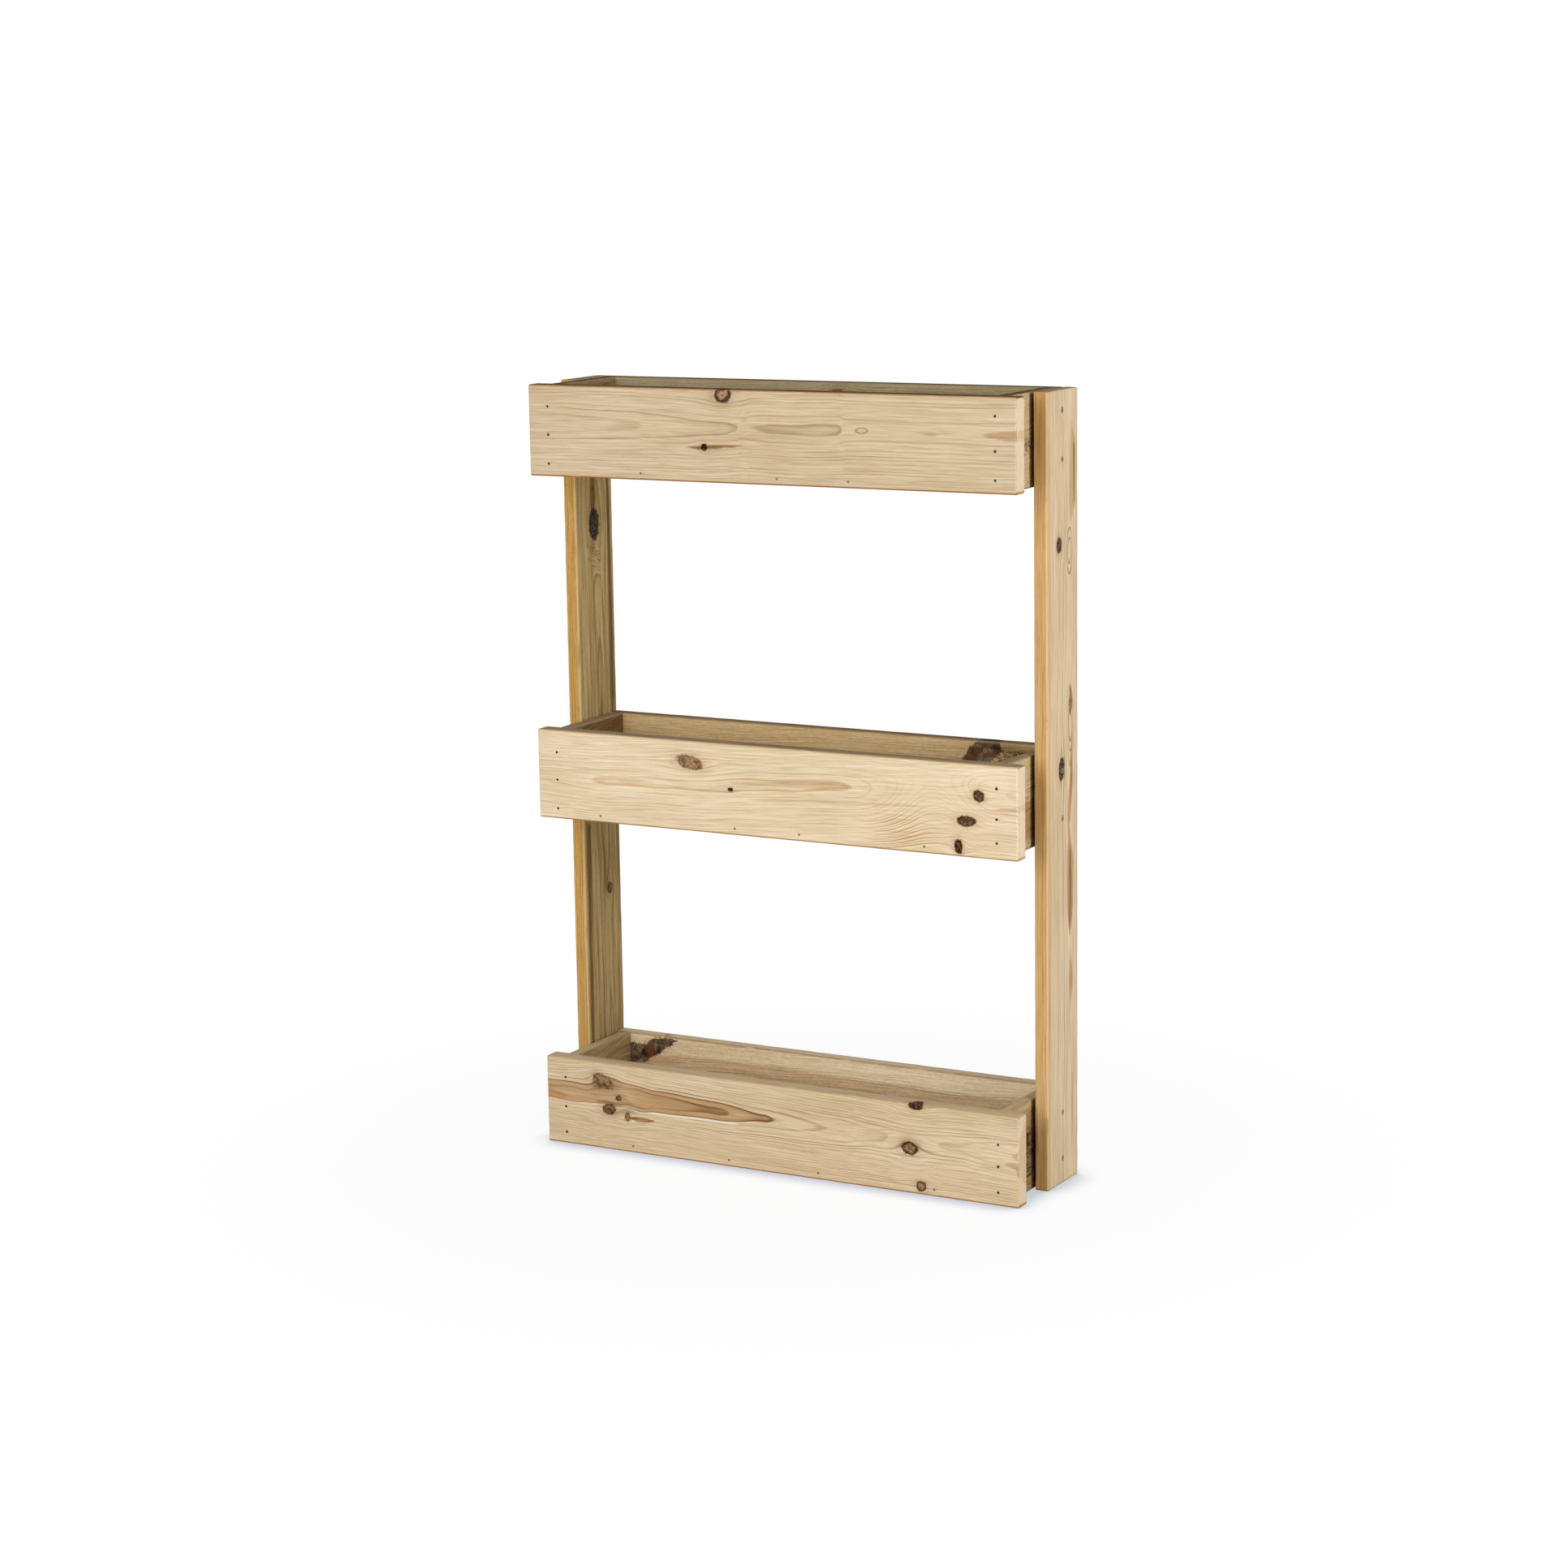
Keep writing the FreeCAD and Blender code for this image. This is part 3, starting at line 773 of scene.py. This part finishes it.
# Back boards: pine boards that close the troughs behind, their ends against the posts. Some bark
# was left where a branch ran out at an edge.
BACK_KNOTS = {
    "top": [
        (420, 120, 12, 9, 0, 0.5, 0.5), (210, 60, 9, 8, 0, 0.8, 0.5), (610, 40, 14, 11, 0.2, 0.5, 0.6),
    ],
    "middle": [
        (652, 120, 8, 10, 0.3, 0.9, 0.4), (150, 70, 12, 9, 0, 0.6, 0.5), (520, 60, 6, 5, 0, 0.8, 0.5),
    ],
    "bottom": [
        (66, 116, 22, 10, 0.5, 0.6, 0.4), (330, 50, 10, 8, 0, 0.6, 0.5), (560, 60, 8, 7, 0, 0.7, 0.5),
    ],
}
BACK_STREAKS = {
    "top": [("heart", 0.3, [(0, 40, 30), (400, 46, 36), (788, 40, 30)])],
    "middle": [
        ("bark", 1.1, [(626, 104, 3), (642, 112, 16), (662, 122, 20), (690, 134, 12)]),
        ("bark", 0.5, [(670, 118, 2), (690, 116, 14), (722, 118, 12), (754, 124, 3)]),
        ("stain_and_shade", 0.55, [(676, 130, 4), (700, 128, 12), (740, 120, 20), (788, 116, 24)]),
    ],
    "bottom": [
        ("bark", 0.78, [
            (0, 108, 20), (22, 104, 18), (48, 108, 17), (74, 122, 15), (94, 130, 9), (112, 134, 2),
        ]),
        ("heart", 0.6, [(0, 60, 50), (400, 62, 50), (788, 58, 46)]),
        ("heart", 0.55, [(60, 100, 3), (120, 101, 14), (400, 99, 15), (700, 97, 13), (788, 96, 4)]),
    ],
}
BACK_WOOD_LIT_AND_SHADED = {                 # colours of spring and summer wood, and a year's growth; lit and shaded copies, with painted light making the bottom board pale and painted shade making the top one grey
    "top": (rgb(192, 180, 146), rgb(150, 128, 90), 2.9 * MM),
    "middle": (rgb(228, 202, 156), rgb(172, 138, 90), 2.7 * MM),
    "bottom": (rgb(255, 238, 204), rgb(196, 160, 116), 2.2 * MM),
}
BACK_HEART = dict(low=66, high=84, behind=64, rises=[(0, -2), (180, 2), (420, -1), (600, 1.5), (788, -2)])
FIRST_BACK = 30               # seed of the first back board
back_pines_lit_and_shaded = {
    trough: pine("pine_back_" + trough, *wood, rubbed=INSIDE_RUBBED, rough=INSIDE_ROUGH)
    for trough, wood in BACK_WOOD_LIT_AND_SHADED.items()
}
for seed, trough in enumerate(TROUGHS, start=FIRST_BACK):
    node = trough + "_back_board"
    board = plank(
        node, ALONG_X, seed, BACK_HEART, INSIDE_STEP,
        knots=BACK_KNOTS[trough], heads=heads_on(node, trough + "_back_nails", ALONG_X),
        streaks=BACK_STREAKS[trough], weather=TOP_GREY_AND_SHADE[trough],
    )
    board.data.materials.append(back_pines_lit_and_shaded[trough])

# Posts: two upright pine planks with their thin edges to the front, which carry the three
# troughs. Two screws go through a post into the end board of each trough.
ALONG_Z = (2, 1, 0)           # grain up Z, width along Y, thickness through X
POST_STEP = 9 * MM
FIRST_POST = 40               # seed of the left post
POST_KNOTS = {
    "left": [(970, 53, 24, 14, 0, 2, 0.6), (380, 74, 9, 7, 0, 0.6, 0.5)],
    "right": [(973, 42, 12, 8, 0.1, 1.6, 0.5), (638, 50, 17, 9, 0.05, 1.6, 0.5)],
}
POST_STREAKS = {
    "left": [
        ("stain_and_shade", 0.95, [(640, 95, 0.5), (700, 95, 4), (1000, 95, 4), (1080, 95, 0.5)]),
        ("stain_and_shade", 0.9, [(985, 50, 3), (1010, 50, 8), (1050, 50, 5), (1110, 50, 0.5)]),
        ("stain_and_shade", 0.8, [(120, 15, 1), (200, 15, 8), (440, 14, 7), (500, 14, 1)]),
    ],
    "right": [
        ("heart", 0.62, [(990, 82, 1), (1040, 87, 13), (1110, 89, 14), (1156, 86, 1)]),
        ("stain_and_shade", 0.42, [(1004, 82, 1), (1040, 88, 9), (1110, 88, 9), (1130, 86, 1)]),
        ("heart", 0.95, [(716, 80, 0.5), (735, 82, 6), (764, 81, 0.5)]),
        ("stain_and_shade", 0.6, [(712, 80, 1), (732, 82, 8), (748, 81, 5), (768, 81, 0.5)]),
        ("heart", 0.8, [(530, 74, 1), (565, 76, 6), (640, 84, 5), (700, 88, 1)]),
        ("stain_and_shade", 0.42, [(560, 76, 1), (590, 82, 5), (610, 86, 6), (650, 88, 1)]),
        ("heart", 0.85, [(370, 78, 1), (430, 80, 11), (490, 80, 12), (545, 77, 2)]),
        ("stain_and_shade", 0.5, [(385, 78, 1), (420, 80, 7), (500, 80, 6), (520, 79, 1)]),
        ("heart", 0.72, [(260, 80, 1), (310, 82, 7), (360, 82, 1)]),
        ("heart", 0.5, [(20, 84, 1), (110, 86, 7), (220, 84, 1)]),
        ("honey", 0.7, [(0, 2, 6), (500, 2, 6), (900, 2, 3), (1200, 2, 2)]),
        # Painted shade on the front edge beside the bottom trough
        ("stain_and_shade", 0.5, [(0, 0, 2.5), (70, 0, 2.5), (115, 0, 0.5)]),
    ],
}
# The front edges have turned to honey, and painted shade darkens the left post's inner side
POST_COATS = {
    "left": [(1, -1, "honey", 1.0, 0), (2, 1, "stain_and_shade", 0.42, 0)],
    "right": [(1, -1, "honey", 1.0, 0)],
}
# turn is -1 because the bark side of both posts is on the right, and places start on the left
POST_HEARTS = {
    "left": dict(
        low=70, high=56, behind=38, turn=-1,
        rises=[(0, 0), (300, 2), (700, -2), (960, 1.5), (1200, -1)],
        hills=[
            (930, 46, 14, 10, 8, 1.5), (916, 66, 15, 10, 9, 1.5), (904, 84, 13, 8, -7, 1.5),
            (985, 52, 60, 14, 6, 0),
        ],
    ),
    "right": dict(
        low=78, high=80, behind=44, turn=-1,
        rises=[(0, 0), (300, 1), (700, -1), (960, 1), (1200, -1)],
        hills=[(962, 77, 36, 13, -7, 3.6), (700, 80, 44, 13, -7, 3.6), (430, 80, 60, 14, -4, 0.6)],
    ),
}
POST_RUBBED = rgb(222, 190, 138)
POST_WEATHER = 0.7
post_pines = {
    "left": pine(
        "pine_post_left", rgb(222, 197, 143), rgb(96, 72, 40), 2.2 * MM,
        lines=0.9, rubbed=POST_RUBBED, rough=0.5,
    ),
    "right": pine("pine_post_right", rgb(227, 206, 174), rgb(152, 122, 80), 2.6 * MM, rubbed=POST_RUBBED),
}
for seed, side in enumerate(("left", "right"), start=FIRST_POST):
    node = side + "_post"
    screws = [head for trough in TROUGHS for head in heads_on(node, trough + "_post_screws", ALONG_Z)]
    board = plank(
        node, ALONG_Z, seed, POST_HEARTS[side], POST_STEP,
        knots=POST_KNOTS[side], heads=screws, streaks=POST_STREAKS[side],
        coats=POST_COATS[side], weather=POST_WEATHER,
    )
    board.data.materials.append(post_pines[side])

# Nails: steel wire nails with small flat heads, driven a little under the face of the wood. The
# heads are rolled with a check pattern, and the shank has grip rings under the head.
NAIL_SIDES = 20
NAIL_HEAD_SHARES = (0.15, 0.3, 0.45, 0.6, 0.75, 0.88)   # rings on the flat of the head, by its radius
NAIL_HEAD_HEIGHT = 1.2 * MM
NAIL_HEAD_EDGE = 0.2 * MM     # height of the rounding at the head's edge
NAIL_SHANK = 0.6              # of the head's radius
NAIL_POINT = 4 * MM           # length of the point
CHECKED_SHARE = 0.8           # of the head's radius, the part with the check pattern
CHECK_PITCH = 0.55 * MM
CHECK_DEPTH = 0.09 * MM
GRIP_RINGS = 6
GRIP_START = 1.2 * MM         # under the head
GRIP_PITCH = 1.1 * MM
GRIP_WIDTH = 0.5 * MM
GRIP_SHARE = 0.9              # of the shank's radius, in a grip ring
POINT_SQUARE = 0.75           # how far in the point's four flats lie
HEAD_TURN = 2.4               # radians from one head to the next, so that no two lie alike
ROW_REACH = 4 * MM            # heads this near to the lowest one are in its row


def turned_rings(profile, sides, shape):
    """Points and faces of a turned piece from its (radius, depth) profile, closed at both ends.

    shape changes the ring points: it takes and gives x, y and depth for each ring."""
    angle = np.arange(sides) * 2 * math.pi / sides
    rings = [
        (radius * np.cos(angle), radius * np.sin(angle), np.full(sides, depth)) for radius, depth in profile
    ]
    points = shape(np.array(rings)).transpose(0, 2, 1).reshape(-1, 3)
    first, last = points[:sides].mean(axis=0), points[-sides:].mean(axis=0)
    around = [(side, (side + 1) % sides) for side in range(sides)]
    faces = []
    for upper in range(0, len(points) - sides, sides):
        lower = upper + sides
        faces += [(upper + side, lower + side, lower + after, upper + after) for side, after in around]
    top, bottom, end = len(points), len(points) + 1, len(points) - sides
    faces += [(top, side, after) for side, after in around]
    faces += [(bottom, end + after, end + side) for side, after in around]
    return np.vstack([points, first, last]), faces


def nail_form(radius, length):
    """A nail with its head at depth 0, pointing down: checked head, grip rings, four-sided point."""
    shank = radius * NAIL_SHANK
    neck = -NAIL_HEAD_HEIGHT
    profile = [(radius * share, 0) for share in NAIL_HEAD_SHARES]
    profile += [(radius * 0.97, -0.3 * NAIL_HEAD_EDGE), (radius, -NAIL_HEAD_EDGE)]
    profile += [(radius, neck + NAIL_HEAD_EDGE), (radius * 0.95, neck)]
    profile += [(shank * 1.1, neck - NAIL_HEAD_EDGE / 2)]
    for ring in range(GRIP_RINGS):
        start = neck - (GRIP_START + GRIP_PITCH * ring)
        profile += [(shank, start), (shank * GRIP_SHARE, start - GRIP_WIDTH / 2)]
        profile += [(shank, start - GRIP_WIDTH)]
    profile += [(shank, -length + NAIL_POINT), (shank * 0.62, -length + 0.45 * NAIL_POINT)]
    profile += [(shank * 0.08, -length)]

    def checked(rings):
        x, y, depth = rings[:, 0], rings[:, 1], rings[:, 2]
        on_head = (depth == 0) & (np.hypot(x, y) < radius * CHECKED_SHARE)
        pitch = math.pi / CHECK_PITCH
        grooves = np.maximum(np.cos(x * pitch), np.cos(y * pitch)) ** 4
        depth = np.where(on_head, -CHECK_DEPTH * grooves, depth)
        pointed = eased(depth, -length + 1.2 * NAIL_POINT, -length + 0.6 * NAIL_POINT)
        corner = np.maximum(np.abs(x), np.abs(y)) / np.maximum(np.hypot(x, y), TINY)
        square = 1 - pointed * (1 - POINT_SQUARE / corner)
        return np.stack([x * square, y * square, depth], axis=1)

    return turned_rings(profile, NAIL_SIDES, checked)


def fasteners(node, axis, form, material, slot):
    """One piece with every nail or screw of a node, each turned to the way that it was driven.

    Its point layer says which heads are in the lowest row, where dust has settled."""
    heads = driven_heads(node, axis)
    lowest = min(place[2] for place, *_ in heads)
    all_points, all_faces, dust = [], [], []
    count = 0
    for number, (place, sign, radius, length) in enumerate(heads):
        points, faces = form(radius, length)
        outward = Vector([sign if side == axis else 0 for side in range(3)])
        spin = Matrix.Rotation(number * HEAD_TURN, 3, "Z")
        turn = np.array(outward.to_track_quat("Z", "Y").to_matrix() @ spin)
        all_points.append(points @ turn.T + place)
        dust.append(np.full((len(points), 3), float(place[2] < lowest + ROW_REACH)))
        all_faces += [tuple(corner + count for corner in face) for face in faces]
        count += len(points)
    piece = mesh_piece("steel_" + node, np.vstack(all_points), all_faces, {"dust": np.vstack(dust)})
    piece.data.materials.append(material)
    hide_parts(node)
    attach(piece, "root")


DUST = rgb(158, 122, 82)
SCRATCH_RELIEF = 0.04 * MM


def steel(name, bright, dull, rust, rusty):
    """Worn steel: bright and dull patches, fine scratches, specks of rust, and dust on the lowest heads."""
    material, tree, shader = new_finish(name)
    place = add_node(tree, "ShaderNodeTexCoord", {}, "Object")
    patches = noise(place, (900, 900, 900), 3.0)
    specks = noise(place, (1600, 1600, 1600), 4.0, 0.7).eased(0.62 - rusty, 0.75 - rusty)
    scratch = noise(place, (400, 6000, 3000), 2.0)
    colour = blend(patches.eased(0.35, 0.65), bright, dull)
    colour = blend(specks, colour, rust)
    dust, _, _ = parts(layer(tree, "dust"))
    colour = blend(dust * 0.7, colour, DUST)
    roughness = patches * 0.25 + scratch * 0.15 + specks * 0.3 + 0.22
    covered = specks.step("MAXIMUM", dust)
    metal = add_node(tree, "ShaderNodeMath", {0: 1.0, 1: covered * 0.8}, operation="SUBTRACT")
    relief = {"Strength": 0.4, "Distance": SCRATCH_RELIEF, "Height": scratch * 0.4 + specks}
    bump = add_node(tree, "ShaderNodeBump", relief, "Normal")
    feed(shader, {"Base Color": colour, "Roughness": roughness, "Metallic": metal, "Normal": bump})
    return material


NAIL_AXES = {"front": 1, "back": 1, "end": 0}   # nails of a trough, and the axis that they lie along
nail_steel = steel("nail_steel", rgb(62, 57, 53), rgb(38, 34, 31), rgb(52, 32, 20), 0.12)
for trough in TROUGHS:
    for board, axis in NAIL_AXES.items():
        fasteners(f"{trough}_{board}_nails", axis, nail_form, nail_steel, "nail_steel")

# Post screws: zinc-plated countersunk steel wood screws with a cross recess and a coarse thread.
# Two go through a post into the end board of each trough.
SCREW_AXIS = 0                # they lie along X
SCREW_SIDES = 32
SCREW_HEAD_SHARES = np.linspace(0.04, 0.72, 14)   # rings over the recess, by the head's radius
SCREW_SHANK = 0.53            # of the head's radius
SCREW_HEAD_EDGE = 0.15 * MM
SCREW_RECESS = 1.6 * MM
RECESS_ARM = (0.13, 0.07)     # half width of the cross's arms at its lip and its floor, by the radius
RECESS_END = (0.62, 0.5)      # and how far they reach
SCREW_PITCH = 2.2 * MM
THREAD_START = 0.3 * MM       # from the smooth neck to the first ring of the thread
THREAD_RINGS = 5              # to a turn
THREAD_ROOT = 0.72            # of the shank's radius, between the ridges
SCREW_POINT = 5 * MM          # length of the tapered tip
SCREW_NECK_SHARE = 0.45       # how much of the length is smooth


def screw_form(radius, length):
    """A wood screw with its head at depth 0, pointing down."""
    shank = radius * SCREW_SHANK
    neck = -(radius - shank)
    profile = [(radius * share, 0) for share in SCREW_HEAD_SHARES]
    profile += [(radius * 0.9, 0), (radius * 0.98, -SCREW_HEAD_EDGE / 3), (radius, -SCREW_HEAD_EDGE)]
    smooth_end = -length * SCREW_NECK_SHARE
    profile += [(shank, neck - SCREW_HEAD_EDGE), (shank, smooth_end)]
    for depth in np.arange(smooth_end - THREAD_START, -length, -SCREW_PITCH / THREAD_RINGS):
        profile.append((shank * np.clip((length + depth) / SCREW_POINT, 0.06, 1), depth))
    profile.append((shank * 0.04, -length))

    def recessed(rings):
        x, y, depth = rings[:, 0], rings[:, 1], rings[:, 2]
        beyond = np.hypot(x, y) / radius
        arm = np.minimum(np.abs(x), np.abs(y)) / radius
        cross = eased(arm, *RECESS_ARM) * eased(beyond, *RECESS_END)
        depth = np.where(depth == 0, -SCREW_RECESS * cross * (1.15 - beyond), depth)
        turn = np.arctan2(y, x) / (2 * math.pi)
        ridge = np.abs((depth / SCREW_PITCH + turn) % 1 - 0.5) * 2
        thread = THREAD_ROOT + (1 - THREAD_ROOT) * eased(ridge, 0.35, 0.9)
        cut = np.where(depth < smooth_end - THREAD_START / 2, thread, 1)
        return np.stack([x * cut, y * cut, depth], axis=1)

    return turned_rings(profile, SCREW_SIDES, recessed)


screw_steel = steel("screw_zinc", rgb(150, 153, 160), rgb(104, 107, 114), rgb(120, 104, 84), 0.0)
for trough in TROUGHS:
    fasteners(trough + "_post_screws", SCREW_AXIS, screw_form, screw_steel, "screw_steel")

# Studio: a wide pale floor that runs out to white, a broad soft light in front, a nearer one on
# the right, and pale light from all round.
FLOOR_HALF = 30.0             # metres from its middle to an edge
FLOOR_PALE = (0.88, 0.88, 0.88, 1)
FLOOR_FADE = (0.45, 1.1)      # from the planter, where the floor turns to plain white
FLOOR_GLOW = 0.92             # share of the floor's white that no cast shadow reaches
CONTACT_REACH = 0.06          # how far the shade at the planter's foot reaches
CONTACT_SHADE = rgb(196, 200, 208)
WHITE = (1, 1, 1, 1)
floor_corners = np.array([(-1, -1, 0), (1, -1, 0), (1, 1, 0), (-1, 1, 0)]) * FLOOR_HALF
floor = mesh_piece("floor", floor_corners, [(0, 1, 2, 3)])
paper = bpy.data.materials.new("studio_paper")
paper.use_nodes = True
tree = paper.node_tree
tree.nodes.clear()
matte = tree.nodes.new("ShaderNodeBsdfDiffuse")
matte.inputs["Color"].default_value = FLOOR_PALE
glow = tree.nodes.new("ShaderNodeEmission")


def straight_rays(tree):
    """1 for rays that a viewer, a mirror or a glass shows, 0 for light that falls on things."""
    path = tree.nodes.new("ShaderNodeLightPath")
    kinds = ("Is Camera Ray", "Is Glossy Ray", "Is Transmission Ray")
    camera_ray, glossy_ray, through_ray = (Field(tree, path.outputs[kind]) for kind in kinds)
    return camera_ray.step("MAXIMUM", glossy_ray).step("MAXIMUM", through_ray)


place = add_node(tree, "ShaderNodeNewGeometry", {}, "Position")
distance = add_node(tree, "ShaderNodeVectorMath", {0: place}, "Value", operation="LENGTH")
open_sky = add_node(tree, "ShaderNodeAmbientOcclusion", {"Distance": CONTACT_REACH}, "AO")
contact = blend(open_sky.eased(0.4, 0.98), CONTACT_SHADE, WHITE)
feed(glow, {"Color": contact})
white = distance.eased(*FLOOR_FADE) * (1 - FLOOR_GLOW) + FLOOR_GLOW
mix = add_node(tree, "ShaderNodeMixShader", {0: white * straight_rays(tree)})
tree.links.new(matte.outputs[0], mix.socket.node.inputs[1])
tree.links.new(glow.outputs[0], mix.socket.node.inputs[2])
feed(tree.nodes.new("ShaderNodeOutputMaterial"), {"Surface": mix})
floor.data.materials.append(paper)

ROOM_LIGHT = 0.42             # strength of the light from all round
world = bpy.data.worlds.new("studio")
bpy.context.scene.world = world
world.use_nodes = True
background = world.node_tree.nodes["Background"]
background.inputs["Color"].default_value = WHITE
strength = straight_rays(world.node_tree) * (1 - ROOM_LIGHT) + ROOM_LIGHT
feed(background, {"Strength": strength})

LAMPS = {                     # name: (place, aimed at, width, watts)
    "front_light": ((-0.4, -4.6, 1.9), (0, 0, 0.6), 2.6, 96),
    "right_light": ((2.3, -0.5, 1.3), (0.3, 0, 0.65), 1.1, 22),
}
for name, (place, aim, span, watts) in LAMPS.items():
    lamp = bpy.data.lights.new(name, "AREA")
    lamp.size = span
    lamp.energy = watts
    light = bpy.data.objects.new(name, lamp)
    light.location = place
    light.rotation_euler = (Vector(aim) - Vector(place)).to_track_quat("-Z", "Y").to_euler()
    bpy.context.scene.collection.objects.link(light)

# Camera: where the photograph was taken from, five and a half metres away, to the right of the
# planter's middle and a little above its top. Lengths in pixels are the photograph's.
CAMERA_PLACE = Vector((2.604, -4.72, 1.595))
CAMERA_YAW, CAMERA_PITCH, CAMERA_ROLL = (math.radians(angle) for angle in (29.18, -10.54, -0.88))
PHOTO_WIDTH_PX = 1932
FOCAL_PX = 4410
camera = bpy.data.cameras.new("camera")
camera.lens = FOCAL_PX / PHOTO_WIDTH_PX * camera.sensor_width
level = Vector((-math.sin(CAMERA_YAW), math.cos(CAMERA_YAW), 0))
ahead = level * math.cos(CAMERA_PITCH) + Vector((0, 0, math.sin(CAMERA_PITCH)))
side = ahead.cross(Vector((0, 0, 1))).normalized()
up = Matrix.Rotation(-CAMERA_ROLL, 3, ahead) @ side.cross(ahead)
side = ahead.cross(up)
viewer = bpy.data.objects.new("camera", camera)
viewer.matrix_world = Matrix.Translation(CAMERA_PLACE) @ Matrix((side, up, -ahead)).transposed().to_4x4()
bpy.context.scene.collection.objects.link(viewer)
bpy.context.scene.camera = viewer
bpy.context.scene.view_settings.view_transform = "Standard"
